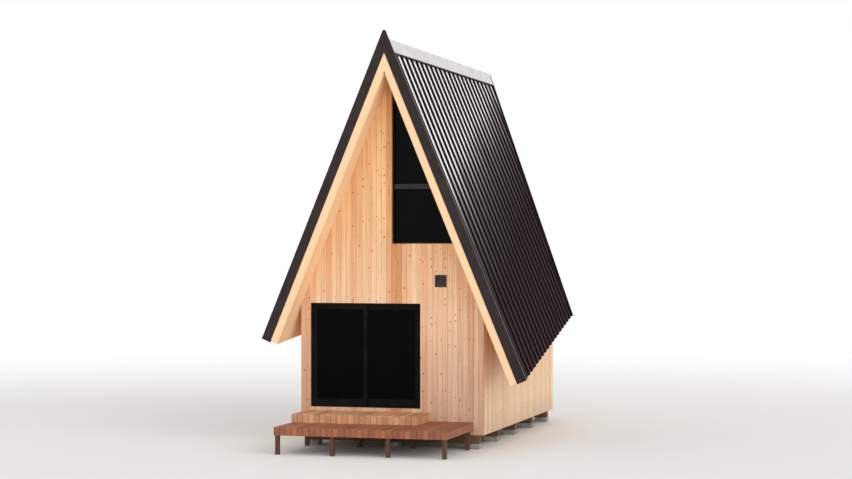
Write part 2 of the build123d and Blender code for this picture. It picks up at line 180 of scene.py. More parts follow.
def shells(sections):
    """Closed tubes, from an array of pieces, sections, profile points and xyz.

    Neighbouring sections of a piece are joined by quads round the closed profile, and the first and
    last sections are capped. A piece whose signed volume is negative has its faces turned round.
    Gives the vertices, the quads and the caps.
    """
    pieces, rows, points, _ = sections.shape
    vertices = sections.reshape(-1, 3)
    piece, row, point = np.indices((pieces, rows - 1, points))
    base = (piece * rows + row) * points
    here = base + point
    turn = base + (point + 1) % points
    quads = np.stack([here, turn, turn + points, here + points], axis=-1).reshape(pieces, -1, 4)
    starts = np.arange(pieces)[:, None] * rows * points
    front = starts + np.arange(points)[::-1]
    back = starts + (rows - 1) * points + np.arange(points)
    corner = vertices[quads]
    normal = np.cross(corner[:, :, 2] - corner[:, :, 0], corner[:, :, 3] - corner[:, :, 1])
    centre = sections.reshape(pieces, -1, 3).mean(axis=1)[:, None, :]
    inside_out = ((corner.mean(axis=2) - centre) * normal).sum(axis=(1, 2)) < 0
    for faces in (quads, front, back):
        faces[inside_out] = faces[inside_out][..., ::-1]
    return vertices, quads.reshape(-1, 4), np.concatenate([front, back])


def make_piece(name, parts, material, body="cabin"):
    """One mesh object from a list of (sections, uv) parts, riding on a body, with its material."""
    vertices, faces, uv, start = [], [], [], 0
    for sections, part_uv in parts:
        points, quads, caps = shells(sections)
        vertices.append(points)
        uv.append(part_uv.reshape(-1, 2))
        faces += (quads + start).tolist() + (caps + start).tolist()
        start += len(points)
    mesh = bpy.data.meshes.new(name)
    mesh.from_pydata(np.concatenate(vertices).tolist(), [], faces)
    corner_vertex = np.zeros(len(mesh.loops), dtype=np.int32)
    mesh.loops.foreach_get("vertex_index", corner_vertex)
    layer = mesh.uv_layers.new(name="boards")
    layer.data.foreach_set("uv", np.concatenate(uv)[corner_vertex].astype(np.float32).ravel())
    mesh.materials.append(material)
    mesh.update()
    piece = bpy.data.objects.new(name, mesh)
    bpy.context.scene.collection.objects.link(piece)
    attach(piece, body)
    return piece


def board_span(place, low, high, start, end, kinks=(), lean=0.0, shift=0.0):
    """One stretch of grooved boarding as a closed tube that runs along a wall.

    Each section is a four-point profile: back and front at the low edge, front and back at the high
    edge. The front stands off by the board thickness, less a V where the distance along the wall is
    a whole number of board widths past shift. place turns distance, offset and height into a point,
    low and high give the edges' heights, kinks are places where those turn, and lean lets the back
    rise above the front under a slope.
    """
    settings = bpy.context.scene.cabin_cladding
    width, thick, groove = settings.board_width, settings.board_thickness, settings.groove_width
    groove_depth = 0.55 * groove
    first, last = math.ceil((start - shift) / width), math.floor((end - shift) / width)
    joints = np.arange(first, last + 1) * width + shift
    stops = np.concatenate([[start, end], kinks, joints, joints - groove / 2, joints + groove / 2])
    stops = np.unique(stops[(stops >= start) & (stops <= end)].round(6))
    off_joint = np.abs((stops - shift + width / 2) % width - width / 2)
    face = thick - groove_depth * np.clip(1 - off_joint / (groove / 2), 0, 1)
    zero = np.zeros_like(stops)
    bottom, top = low(stops), high(stops)
    profile = ((zero, bottom), (face, bottom), (face, top - lean * face), (zero, top))
    sections = np.stack([place(stops, offset, height) for offset, height in profile], axis=1)
    across = np.repeat((stops - shift)[:, None], 4, axis=1)
    along = np.stack([bottom, bottom, top, top], axis=1)
    return sections[None], np.stack([across, along], axis=-1)[None]


def wall_place(origin, along, outward):
    """A function that turns distance along a wall, distance off it and height into points."""
    origin, along, outward = (np.array(v, float) for v in (origin, along, outward))

    def place(distance, offset, height):
        flat = origin + distance[:, None] * along + offset[:, None] * outward
        return np.column_stack([flat, height])

    return place


def slope_place(sign, depth):
    """A function that turns distance back, depth under the roof and distance down into points."""

    def place(back, under, down):
        across = down * SLOPE_COS - (depth + under) * SLOPE_SIN
        height = ROOF_PEAK - down * SLOPE_SIN - (depth + under) * SLOPE_COS
        return np.column_stack([sign * across, back, height])

    return place


def constant(value):
    """A function that gives the same height everywhere."""
    return lambda distance: np.full_like(distance, value)


def under_roof(distance):
    """Height of the soffit's underside at a distance from the ridge line."""
    return UNDER_PEAK - SLOPE * np.abs(distance)


# Materials


def add_node(tree, kind, inputs=(), stops=(), **options):
    """Add a node with its options, its inputs and its ramp's stops.

    Inputs are a list from the first socket on, or a dict. One is linked to the output that it is
    given, or to the first output of a node, and anything else that it is given is its value. A
    stop's colour is linear, or an sRGB hex code.
    """
    made = tree.nodes.new(kind)
    for name, value in options.items():
        setattr(made, name, value)
    sources = inputs.items() if isinstance(inputs, dict) else enumerate(inputs)
    for socket, source in sources:
        if isinstance(source, bpy.types.Node):
            source = source.outputs[0]
        if isinstance(source, bpy.types.NodeSocket):
            tree.links.new(source, made.inputs[socket])
        else:
            made.inputs[socket].default_value = source
    for index, (position, colour) in enumerate(stops):
        keys = made.color_ramp.elements
        key = keys[index] if index < len(keys) else keys.new(position)
        key.position = position
        key.color = linear(colour) if isinstance(colour, str) else colour
    return made


def new_material(name):
    """A node material with nothing in it, and the function that adds a node to it."""
    material = bpy.data.materials.new(name)
    material.use_nodes = True
    material.node_tree.nodes.clear()
    return material, partial(add_node, material.node_tree)


def mixed_colour(add, share, first, second):
    """The first colour where share is 0, the second where it is 1."""
    return add("ShaderNodeMix", {0: share, 6: first, 7: second}, data_type="RGBA").outputs[2]


def board_material(
    name, width, tones, knots=0.85, streak=0.16, edge=0.003, painted_light_by_height=(), marked=(), axes=None
):
    """Planed timber boards, read from the piece's own UV map: across the boards, then along them.

    On a CAD node, which has no such map, axes gives the two Object axes that stand in for it. Each
    board has a tone of its own. Streaks 9 to 40 mm wide run along it, wider than real grain so that
    they show, dark knots up to 36 mm across lie in it, and its joints are in light shade. edge is
    half the width that a joint is drawn at. marked lists boards with a colour of their own, by the
    middle and the reach of each group in board widths. A list of heights above the ground, with
    what the colour is multiplied by at each, paints light and shade on the boards by height.
    """
    material, add = new_material(name)
    if axes:
        place = add("ShaderNodeTexCoord").outputs["Object"]
        split = add("ShaderNodeSeparateXYZ", [place])
        across, along = (split.outputs[axis] for axis in axes)
        flat = add("ShaderNodeCombineXYZ", [across, along])
    else:
        flat = add("ShaderNodeUVMap", uv_map="boards")
        across, along, _ = add("ShaderNodeSeparateXYZ", [flat]).outputs
    board = add("ShaderNodeMath", [across, width], operation="DIVIDE")
    index = add("ShaderNodeMath", [board], operation="FLOOR")
    pick = add("ShaderNodeTexWhiteNoise", {"W": index}, noise_dimensions="1D")
    colour = add("ShaderNodeValToRGB", [pick], stops=tones).outputs[0]
    for middle, reach, shade in marked:
        group = add("ShaderNodeMath", [board, middle, reach], operation="COMPARE")
        colour = mixed_colour(add, group, colour, shade)
    # Streaks along the board, drawn from a point that jumps from board to board
    jump = add("ShaderNodeVectorMath", {0: pick.outputs[1], 3: 7.0}, operation="SCALE")
    moved = add("ShaderNodeVectorMath", [flat, jump], operation="ADD")
    fine = add("ShaderNodeMapping", {0: moved, "Scale": per_metre(9, 770, 1000)})
    grain = add("ShaderNodeTexNoise", {0: fine, "Scale": 1.0, "Detail": 5.0, "Distortion": 0.6})
    broad = add("ShaderNodeMapping", {0: moved, "Scale": per_metre(40, 1670, 1000)})
    flow = add("ShaderNodeTexNoise", {0: broad, "Scale": 1.0, "Detail": 3.0})
    both = add("ShaderNodeMath", [grain, flow], operation="ADD")
    light, dark = 1.0 + streak * 0.5, 1.0 - streak
    streaks = add("ShaderNodeMapRange", [both, 0.7, 1.35, light, dark])
    grained = add("ShaderNodeVectorMath", {0: colour, 3: streaks}, operation="SCALE")
    # Knots: dark eyes at scattered points, one to a cell of board at most and most of them small.
    # They are longer along the board than across it.
    knot_cell = 0.2
    cells = add("ShaderNodeMapping", {0: moved, "Scale": (1 / width, 1 / knot_cell, 1.0)})
    scatter = {0: cells, "Scale": 1.0, "Randomness": 0.9}
    eyes = add("ShaderNodeTexVoronoi", scatter, voronoi_dimensions="2D")
    apart = add("ShaderNodeVectorMath", [cells, eyes.outputs[2]], operation="SUBTRACT")
    true_size = (width, 0.77 * knot_cell, 0.0)
    apart = add("ShaderNodeVectorMath", [apart, true_size], operation="MULTIPLY")
    distance = add("ShaderNodeVectorMath", [apart], operation="LENGTH").outputs[1]
    chance = add("ShaderNodeSeparateColor", [eyes.outputs[1]])
    rare = add("ShaderNodeMath", [chance, 2.0], operation="POWER")
    radius = add("ShaderNodeMapRange", [rare, 0.12, 0.95, -0.003, 0.017])
    inside = add("ShaderNodeMath", [radius, distance], operation="SUBTRACT")
    eye = add("ShaderNodeMapRange", [inside, -0.006, 0.006, 0.0, knots])
    brown = (0.40, 0.17, 0.07)
    heart = add("ShaderNodeVectorMath", [colour, brown], operation="MULTIPLY")
    knotted = mixed_colour(add, eye, grained, heart)
    # The joint between two boards, drawn wider than it is so that it shows
    within = add("ShaderNodeMath", [board], operation="FRACT")
    aside = add("ShaderNodeMath", [within, 0.5], operation="SUBTRACT")
    aside = add("ShaderNodeMath", [aside], operation="ABSOLUTE")
    joint = 0.5 - edge / width
    shade = add("ShaderNodeMapRange", [aside, joint - 0.02, joint, 1.0, 0.8])
    finish = add("ShaderNodeVectorMath", {0: knotted, 3: shade}, operation="SCALE")
    # Painted light and shade: the colour is multiplied by a tint that changes with height
    if painted_light_by_height:
        highest = 10.0
        height = add("ShaderNodeMapRange", [along, 0.0, highest])
        levels = [(level / highest, (*tone, 1.0)) for level, *tone in painted_light_by_height]
        climb = add("ShaderNodeValToRGB", [height], stops=levels)
        finish = add("ShaderNodeVectorMath", [finish, climb], operation="MULTIPLY")
    bump = add("ShaderNodeBump", {"Height": both, "Strength": 0.25, "Distance": 0.002})
    looks = {"Base Color": finish, "Roughness": 0.6, "IOR": 1.45, "Normal": bump}
    surface = add("ShaderNodeBsdfPrincipled", {**looks, "Specular IOR Level": 0.25})
    add("ShaderNodeOutputMaterial", {"Surface": surface})
    return material


def mottled_material(name, patterns, tones, relief, looks, dull=None):
    """A material whose tones follow a noise, and whose relief follows that one or one of its own.

    Each pattern is how far apart its features are in millimetres, one figure or one for each axis
    of the object, with the noise's settings. tones are the stops of a ramp, and relief is the
    strength and the depth of the bump. dull maps the first noise to roughness, and looks holds what
    is the same all over.
    """
    material, add = new_material(name)
    place = add("ShaderNodeTexCoord").outputs["Object"]
    noises = []
    for spacing, settings in patterns:
        drawn = {0: place, "Scale": per_metre(*spacing)}
        if len(spacing) > 1:
            drawn = {0: add("ShaderNodeMapping", drawn), "Scale": 1.0}
        noises.append(add("ShaderNodeTexNoise", {**drawn, **settings}))
    looks = {"Base Color": add("ShaderNodeValToRGB", [noises[0]], stops=tones), **looks}
    if dull:
        looks["Roughness"] = add("ShaderNodeMapRange", {0: noises[0], **dull})
    raised = {"Height": noises[-1], "Strength": relief[0], "Distance": relief[1]}
    looks["Normal"] = add("ShaderNodeBump", raised)
    add("ShaderNodeOutputMaterial", {"Surface": add("ShaderNodeBsdfPrincipled", looks)})
    return material


def timber_material(name, code, streak, roughness=0.6):
    """Sawn timber: matt and furry, with dull streaks of darker wood along the grain.

    streak is how far apart they are along each axis of the object, in millimetres. They are drawn
    several times as wide as real grain, so that they show.
    """
    grain = (streak, {"Detail": 5.0, "Distortion": 0.5})
    red, green, blue, _ = linear(code)
    tones = [(0.3, (red * 0.62, green * 0.56, blue * 0.5, 1.0)), (0.62, code)]
    looks = {"Roughness": roughness, "IOR": 1.45}
    return mottled_material(name, [grain], tones, (0.3, 0.002), looks)


def finish_nodes(names, material):
    """Give CAD nodes a material, in place of what they were imported with."""
    for name in names:
        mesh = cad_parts[name].data
        mesh.materials.clear()
        mesh.materials.append(material)


def cedar(face):
    """The boards of the walls: planed cedar with clear oil, and light and shade painted on by
    height.

    The front has two reddish boards under the window's upright edge. The painted shade makes the
    boards darker and pinker near the ground, and honey gold or orange under the roof; the sides
    get less of the warm shade than the front, so they look greyer. The boards left of the door are
    painted in the shade of the left eave.
    """
    settings = bpy.context.scene.cabin_cladding
    name, width = f"oiled_cedar_{face}", settings.board_width
    pale, honey, red = (np.array(tone) for tone in (settings.pale, settings.honey, settings.red))
    tan = tuple(0.55 * honey + 0.45 * red)
    middle = tuple(0.5 * pale + 0.5 * honey)
    tones = [(0.0, tuple(pale)), (0.5, middle), (0.8, tuple(honey)), (1.0, tan)]
    if face == "side":
        # Painted light and shade: dark and cool near the ground, and a warm orange shade under the
        # eave
        painted_light_by_height = [
            (0.35, 0.74, 0.80, 0.84),
            (0.9, 0.90, 1.00, 1.00),
            (2.2, 0.95, 0.98, 0.96),
            (3.3, 0.98, 0.90, 0.82),
        ]
        return board_material(name, width, tones, painted_light_by_height=painted_light_by_height)
    # Painted light and shade: darker and pinker near the ground, warm honey shade up the gable
    painted_light_by_height = [
        (0.4, 0.70, 0.72, 0.76),
        (1.6, 0.80, 0.82, 0.86),
        (3.0, 0.99, 1.03, 1.05),
        (4.0, 0.98, 0.95, 0.86),
        (4.8, 0.94, 0.88, 0.75),
        (5.6, 0.96, 0.89, 0.71),
        (7.6, 1.00, 0.89, 0.64),
    ]
    # The reddish pair under the window, the tan board beside it, and the boards left of the door,
    # which are painted tan as shade under the left eave
    half = -HALF_WIDTH / width
    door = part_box("door_head")[0].x / width
    marked = [(1.0, 1.0, tuple(red)), (-0.5, 0.5, tan), ((half + door) / 2, (door - half) / 2, tan)]
    return board_material(name, width, tones, streak=0.26, painted_light_by_height=painted_light_by_height, marked=marked)


# Operators, one for each group of pieces


class CABIN_OT_front_cladding(bpy.types.Operator):
    """Upright boards on the front wall, cut round the door, the window and the vent"""

    bl_idname = "cabin.front_cladding"
    bl_label = "Front cladding"

    def execute(self, context):
        door_low, door_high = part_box("door_head")
        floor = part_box("front_wall_base")[1].z
        window_low, window_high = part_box("window_frame")
        # The vent's rim covers the cut edge of the boards by 20 mm
        rim = Vector((0.02, 0, 0.02))
        vent_low, vent_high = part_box("wall_vent")[0] + rim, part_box("wall_vent")[1] - rim

        def over_window(distance):
            return window_high.z - SLOPE * (distance - window_low.x)

        # Each opening's left and right, foot and head
        openings = (
            (door_low.x, door_high.x, constant(floor), constant(door_high.z)),
            (vent_low.x, vent_high.x, constant(vent_low.z), constant(vent_high.z)),
            (window_low.x, window_high.x, constant(window_low.z), over_window),
        )
        # Each stretch between two upright edges is boarded from one opening to the next
        edge = HALF_WIDTH + context.scene.cabin_cladding.board_thickness
        stops = sorted([-edge, edge, *(x for opening in openings for x in opening[:2])])
        place = wall_place((0, 0), (1, 0), (0, -1))
        parts = []
        for start, end in zip(stops[:-1], stops[1:]):
            levels = [constant(WALL_BASE)]
            for left, right, foot, head in openings:
                if left < (start + end) / 2 < right:
                    levels += [foot, head]
            levels.append(under_roof)
            for low, high in zip(levels[::2], levels[1::2]):
                parts.append(board_span(place, low, high, start, end, kinks=[0.0]))
        make_piece("front_boards", parts, cedar("front"))
        return {"FINISHED"}


class CABIN_OT_side_cladding(bpy.types.Operator):
    """Upright boards on the two side walls and on the two plain walls at the back"""

    bl_idname = "cabin.side_cladding"
    bl_label = "Side and rear cladding"

    def execute(self, context):
        boards = cedar("side")
        base, top = constant(WALL_BASE), constant(WALL_TOP)
        turn_sin, turn_cos = math.sin(REAR_ANGLE), math.cos(REAR_ANGLE)

        def rear_top(distance):
            return under_roof(distance * turn_sin) + SOFFIT_DEPTH / SLOPE_COS

        for side, sign in SIDES:
            place = wall_place((sign * HALF_WIDTH, 0), (0, 1), (sign, 0))
            span = board_span(place, base, top, 0, CORNER_RUN, lean=SLOPE, shift=0.03)
            make_piece(f"side_boards_{side}", [span], boards)
            along, outward = (sign * turn_sin, -turn_cos), (sign * turn_cos, turn_sin)
            place = wall_place((0, RIDGE_RUN), along, outward)
            length = HALF_WIDTH / turn_sin
            span = board_span(place, base, rear_top, 0, length, shift=0.02)
            make_piece(f"rear_boards_{side}", [span], boards)
        return {"FINISHED"}


class CABIN_OT_soffits(bpy.types.Operator):
    """Boards under the roof's overhangs, and the pale board along each sloping front edge"""

    bl_idname = "cabin.soffits"
    bl_label = "Soffits and rake boards"

    def execute(self, context):
        settings = context.scene.cabin_cladding
        width = settings.board_width
        tones = [(0.0, "fbd6ab"), (0.5, "f7d0a4"), (1.0, "f2c99b")]
        lining = board_material("oiled_spruce_lining", width, tones, knots=0.35, streak=0.08)
        # Wide planed boards along the front edge, a shade deeper than the lining
        tones = [(0.0, "fad3a8"), (1.0, "f5cca0")]
        plank = board_material("oiled_cedar_rake", 1.0, tones, knots=0.4, streak=0.04)
        # The soffit behind its boards and at its cut ends: the same spruce, streaked down the slope
        solid = timber_material("sawn_spruce_lining", "fdd9b2", (110, 17, 500))
        finish_nodes(["roof_soffit_left", "roof_soffit_right"], solid)
        # In front of the wall the boards run from the ridge to the eave, and beside it from the
        # wall to the eave. They keep off the ridge, the wall and the rear corner.
        ridge_gap, wall_gap, rear_gap = 0.06, 0.05, 0.2
        front_face, last = -settings.board_thickness, CORNER_RUN - rear_gap
        ridge = constant(ROOF_DEPTH * SLOPE + ridge_gap)
        wall = constant((HALF_WIDTH + ROOF_DEPTH * SLOPE_SIN) / SLOPE_COS + wall_gap)
        for side, sign in SIDES:
            reach, eave = eave_line(side)
            place = slope_place(sign, ROOF_DEPTH)
            front = board_span(place, ridge, eave, RAKE_FACE, front_face, shift=0.02)
            beside = board_span(place, wall, eave, front_face, last, shift=0.02)
            make_piece(f"soffit_boards_{side}", [front, beside], lining)
            make_piece(f"rake_board_{side}", rake_board(sign, reach), plank)
        return {"FINISHED"}


def eave_line(side):
    """Distance down the roof to one eave: at the front edge, and as a function of distance back.

    It is a straight line through the lowest corners of the soffit layer's front and rear ends. The
    boards stop a little short of it.
    """
    eave_gap = 0.004
    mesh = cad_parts[f"roof_soffit_{side}"].data
    points = np.zeros(len(mesh.vertices) * 3)
    mesh.vertices.foreach_get("co", points)
    points = points.reshape(-1, 3)
    down = (ROOF_PEAK - points[:, 2]) * SLOPE_SIN + np.abs(points[:, 0]) * SLOPE_COS
    # The front end's corners, and those well behind it
    reach = down[points[:, 1] < RAKE_FACE + 0.01].max()
    behind = points[:, 1] > 1.0
    lowest = down[behind].argmax()
    climb = (down[behind][lowest] - reach) / (points[behind][lowest, 1] - RAKE_FACE)
    return reach, lambda distance: reach + climb * (distance - RAKE_FACE) - eave_gap


def rake_board(sign, reach):
    """Planks along the sloping front edge: a four-point profile carried down the slope.

    The profile is the soffit layer's front face drawn 15 mm forward, and the planks butt together.
    The highest one is cut upright, where it meets the other slope's.
    """
    proud, butt, shares = 0.015, 0.0006, np.array([0.0, 0.36, 0.70, 1.0])
    depth = PANEL_DEPTH + SOFFIT_DEPTH * np.array([0, 0, 1, 1])
    back = RAKE_FACE - proud * np.array([0, 1, 1, 0])
    # Where the profile's points lie across the boards' pattern
    across = np.array([0.03, 0.03, 0.12, 0.12])
    start = ROOF_DEPTH * SLOPE
    joints = start + (reach - start) * shares
    place = slope_place(sign, 0.0)
    parts = []
    for first, last in zip(joints[:-1] + butt, joints[1:] - butt):
        upper = np.full(4, first) if parts else depth * SLOPE + butt
        lower = np.full(4, last)
        sections = np.stack([place(back, depth, upper), place(back, depth, lower)])
        uv = np.stack([np.broadcast_to(across, (2, 4)), np.stack([upper, lower])], axis=-1)
        parts.append((sections[None], uv[None]))
    return parts


class CABIN_OT_roof_metal(bpy.types.Operator):
    """Coated steel on pans, seams, ridge and trims, with a painted sky reflection below the ridge
    """

    bl_idname = "cabin.roof_metal"
    bl_label = "Roof metal"

    def execute(self, context):
        settings = context.scene.cabin_roof
        # The white stripes on the pans are a painted sky reflection
        pans = whitened_steel("coated_steel_pans", painted_pan_reflection)
        finish_nodes(["roof_sheet_left", "roof_sheet_right"], pans)
        finish_nodes(["ridge_cap"], whitened_steel("coated_steel_ridge", ridge_whiteness))
        trim = plain_coat("coated_steel_trim", tuple(settings.trim), 0.42)
        kinds = ("rake", "eave", "rear")
        finish_nodes([f"{kind}_trim_{side}" for kind in kinds for side, _ in SIDES], trim)
        core = timber_material("sawn_timber_core", "a98252", (125, 125, 125))
        finish_nodes(["roof_panel_left", "roof_panel_right"], core)
        return {"FINISHED"}


def plain_coat(name, colour, roughness, gloss=0.12):
    """Powder-coated metal: an even satin colour with a fine, faint unevenness.

    gloss is the coat's specular level, low because its fine texture scatters most of the light.
    """
    haze, grit = ((330,), {"Detail": 6.0}), ((1.1,), {"Detail": 2.0})
    lighter = (*(min(1.0, channel * 1.5 + 0.004) for channel in colour[:3]), 1.0)
    tones = [(0.35, colour), (0.75, lighter)]
    looks = {"Roughness": roughness, "IOR": 1.5, "Specular IOR Level": gloss}
    return mottled_material(name, [haze, grit], tones, (0.06, 0.001), looks)


def whitened_steel(name, whiteness):
    """Coated steel sheet: satin brown-black, slightly wavy, and dull white where the mask paints
    white.
    """
    material, add = new_material(name)
    place = add("ShaderNodeTexCoord").outputs["Object"]
    mask = whiteness(add, place)
    settings = bpy.context.scene.cabin_roof
    metal, white = tuple(settings.metal), tuple(settings.whiteness)
    colour = mixed_colour(add, mask, metal, white)
    dull = add("ShaderNodeMapRange", {0: mask, 3: 0.5, 4: 0.85})
    wave = add("ShaderNodeTexNoise", {0: place, "Scale": per_metre(450), "Detail": 1.0})
    bump = add("ShaderNodeBump", {"Height": wave, "Strength": 0.25, "Distance": 0.008})
    looks = {"Roughness": dull, "IOR": 1.5, "Specular IOR Level": 0.06}
    surface = add("ShaderNodeBsdfPrincipled", {"Base Color": colour, "Normal": bump, **looks})
    add("ShaderNodeOutputMaterial", {"Surface": surface})
    return material


def ridge_whiteness(add, place):
    """How white the ridge cap is: all over but for its foot, and a little uneven."""
    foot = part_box("ridge_cap")[0].z
    height = add("ShaderNodeSeparateXYZ", [place]).outputs[2]
    above = add("ShaderNodeMapRange", [height, foot + 0.04, foot + 0.06])
    blotches = add("ShaderNodeTexNoise", {0: place, "Scale": per_metre(240), "Detail": 5.0})
    thick = add("ShaderNodeMapRange", [blotches, 0.3, 0.65, 0.64, 0.76])
    return add("ShaderNodeMath", [above, thick], operation="MULTIPLY")


def painted_pan_reflection(add, place):
    """How much painted sky reflection whitens the pans: a stripe down the middle between two seams.

    It whitens the metal under the ridge and fades to nothing lower down, at a height that climbs
    towards the back.
    """
    settings = bpy.context.scene.cabin_roof
    # Where a point lies between two seams: the pan's number, and the share of the way across it
    back = add("ShaderNodeSeparateXYZ", [place]).outputs[1]
    across = add("ShaderNodeMath", [back, FIRST_SEAM], operation="SUBTRACT")
    across = add("ShaderNodeMath", [across, SEAM_SPACING], operation="DIVIDE")
    number = add("ShaderNodeMath", [across], operation="FLOOR")
    share = add("ShaderNodeMath", [across], operation="FRACT")
    aside = add("ShaderNodeMath", [share, 0.5], operation="SUBTRACT")
    aside = add("ShaderNodeMath", [aside], operation="ABSOLUTE")
    # Small patches thin the painted reflection, and let the edges of its stripe wander by 20 mm
    patchy = {0: place, "Scale": per_metre(80), "Detail": 6.0, "Roughness": 0.65}
    flecks = add("ShaderNodeTexNoise", patchy)
    edge = add("ShaderNodeMath", [flecks, 0.2, aside], operation="MULTIPLY_ADD")
    stripe = add("ShaderNodeMapRange", [edge, 0.38, 0.48, 1.0, 0.0])
    cover = add("ShaderNodeMapRange", [flecks, 0.38, 0.62, 0.86, 1.0])
    stripe = add("ShaderNodeMath", [stripe, cover], operation="MULTIPLY")
    # The painted reflection ends up to 0.2 m higher or lower from pan to pan, and in patches
    # within a pan
    climb = (0.0, -settings.reflection_climb, 1.0)
    height = add("ShaderNodeVectorMath", [place, climb], operation="DOT_PRODUCT").outputs[1]
    chance = add("ShaderNodeTexWhiteNoise", {"W": number}, noise_dimensions="1D")
    shift = add("ShaderNodeMath", [chance, 0.4, height], operation="MULTIPLY_ADD")
    stretch = add("ShaderNodeMapping", {0: place, "Scale": per_metre(670, 90, 670)})
    patches = add("ShaderNodeTexNoise", {0: stretch, "Scale": 1.0, "Detail": 4.0})
    shift = add("ShaderNodeMath", [patches, 0.9, shift], operation="MULTIPLY_ADD")
    # How much of the metal the painted reflection whitens, from 2.4 m below its fade line to 0.8 m
    # above it. The noises raise a point by 0.65 m on average.
    line = settings.reflection_line + 0.65
    level = add("ShaderNodeMapRange", [shift, line - 2.4, line + 0.8])
    positions = (0.06, 0.32, 0.44, 0.57, 0.69, 0.82, 0.94)
    white_share = (0.0, 0.05, 0.09, 0.15, 0.27, 0.54, 1.0)
    stops = [(position, (part, part, part, 1.0)) for position, part in zip(positions, white_share)]
    film = add("ShaderNodeValToRGB", [level], stops=stops)
    return add("ShaderNodeMath", [film, stripe], operation="MULTIPLY")


class CABIN_OT_glazing(bpy.types.Operator):
    """Dark glass, black frames, the grey transom, the vent, and the door's steel rollers"""

    bl_idname = "cabin.glazing"
    bl_label = "Window and door"

    def execute(self, context):
        # Black anodised and coated aluminium: a dense black that keeps a soft edge light
        black = plain_coat("black_coated_aluminium", linear("060607"), 0.45, gloss=0.07)
        door = ["door_head", "door_jambs", "door_sill", "door_handles"]
        finish_nodes(["window_frame", *door, "fixed_leaf", "sliding_leaf"], black)
        grey = plain_coat("grey_coated_aluminium", linear("2b2b2c"), 0.45)
        finish_nodes(["window_transom"], grey)
        panes = ["window_glass_upper", "window_glass_lower", "fixed_glass", "sliding_glass"]
        finish_nodes(panes, tinted_glass())
        finish_nodes(["wall_vent"], vent_coat())
        finish_nodes(["door_rollers"], brushed_steel())
        return {"FINISHED"}


def tinted_glass():
    """Tinted float glass: nearly black with the dark room behind it, and a faint cool reflection.

    The panes bow a little over half a metre, which bends what they reflect, and a thin film of dust
    dulls them in patches. The IOR is far below that of glass, as the photo's panes stay black.
    """
    film, bow = ((350,), {"Detail": 5.0}), ((550,), {"Detail": 0.0})
    tones = [(0.35, "131617"), (0.7, "1a1d1e")]
    looks = {"IOR": 1.13, "Transmission Weight": 1.0}
    dull = {1: 0.4, 2: 0.7, 3: 0.01, 4: 0.05}
    return mottled_material("tinted_float_glass", [film, bow], tones, (0.2, 0.003), looks, dull)


def brushed_steel():
    """Brushed stainless steel: grey and bright, with fine scratches that smear its highlights.

    The scratches run up and down and are drawn 1 mm apart, coarser than real ones.
    """
    name, scratch = "brushed_stainless_steel", ((1, 1, 40), {"Detail": 3.0})
    if name in bpy.data.materials:
        return bpy.data.materials[name]
    tones = [(0.3, "a9a9a7"), (0.7, "c6c6c3")]
    dull = {1: 0.3, 2: 0.7, 3: 0.26, 4: 0.42}
    return mottled_material(name, [scratch], tones, (0.15, 0.0005), {"Metallic": 1.0}, dull)


def vent_coat():
    """Coated aluminium vent: a brown-black rim round blades of a greyer, dustier tone."""
    blades, rim, rim_width = linear("504546"), linear("241b1a"), 0.04
    low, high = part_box("wall_vent")
    within = (high.x - low.x) / 2 - rim_width
    material, add = new_material("coated_aluminium_vent")
    place = add("ShaderNodeTexCoord").outputs["Object"]
    # The greater of the distances across and up from the vent's middle
    centre = tuple((low + high) / 2)
    offset = add("ShaderNodeVectorMath", [place, centre], operation="SUBTRACT")
    offset = add("ShaderNodeVectorMath", [offset], operation="ABSOLUTE")
    across, _, up = add("ShaderNodeSeparateXYZ", [offset]).outputs
    reach = add("ShaderNodeMath", [across, up], operation="MAXIMUM")
    edge = add("ShaderNodeMapRange", [reach, within - 0.002, within])
    colour = mixed_colour(add, edge, blades, rim)
    dust = add("ShaderNodeTexNoise", {0: place, "Scale": per_metre(17), "Detail": 4.0})
    faint = add("ShaderNodeMapRange", {0: dust, 3: 0.8, 4: 1.2})
    tone = add("ShaderNodeVectorMath", {0: colour, 3: faint}, operation="SCALE")
    looks = {"Base Color": tone, "Roughness": 0.5, "IOR": 1.5}
    add("ShaderNodeOutputMaterial", {"Surface": add("ShaderNodeBsdfPrincipled", looks)})
    return material


class CABIN_OT_decks(bpy.types.Operator):
    """Boards on the step and on the deck, the upright boards of their edges, screws and frames"""

    bl_idname = "cabin.decks"
    bl_label = "Decks"

    def execute(self, context):
        settings = context.scene.cabin_deck
        screws = []
        colours = {"upper_step": settings.step_colour, "lower_deck": settings.deck_colour}
        for piece, colour in colours.items():
            base = np.array(colour)[:3]
            dark, light = base * 0.76, np.minimum(base * 1.22, 1.0)
            tones = [(0.0, (*dark, 1.0)), (0.5, (*base, 1.0)), (1.0, (*light, 1.0))]
            name = f"oiled_{piece}_boards"
            wood = board_material(name, settings.board_width, tones, knots=0.3, edge=0.010)
            screws += deck(piece, settings, wood)
        flat = [(heads, np.zeros((*heads.shape[:3], 2))) for heads in screws]
        make_piece("deck_screws", flat, brushed_steel())
        frame_wood = timber_material("sawn_deck_timber", "6b432f", (85, 85, 85))
        finish_nodes(["upper_step_frame", "lower_deck_frame"], frame_wood)
        post_wood = timber_material("dark_stained_posts", "583528", (70, 70, 670))
        finish_nodes(["deck_posts"], post_wood)
        return {"FINISHED"}


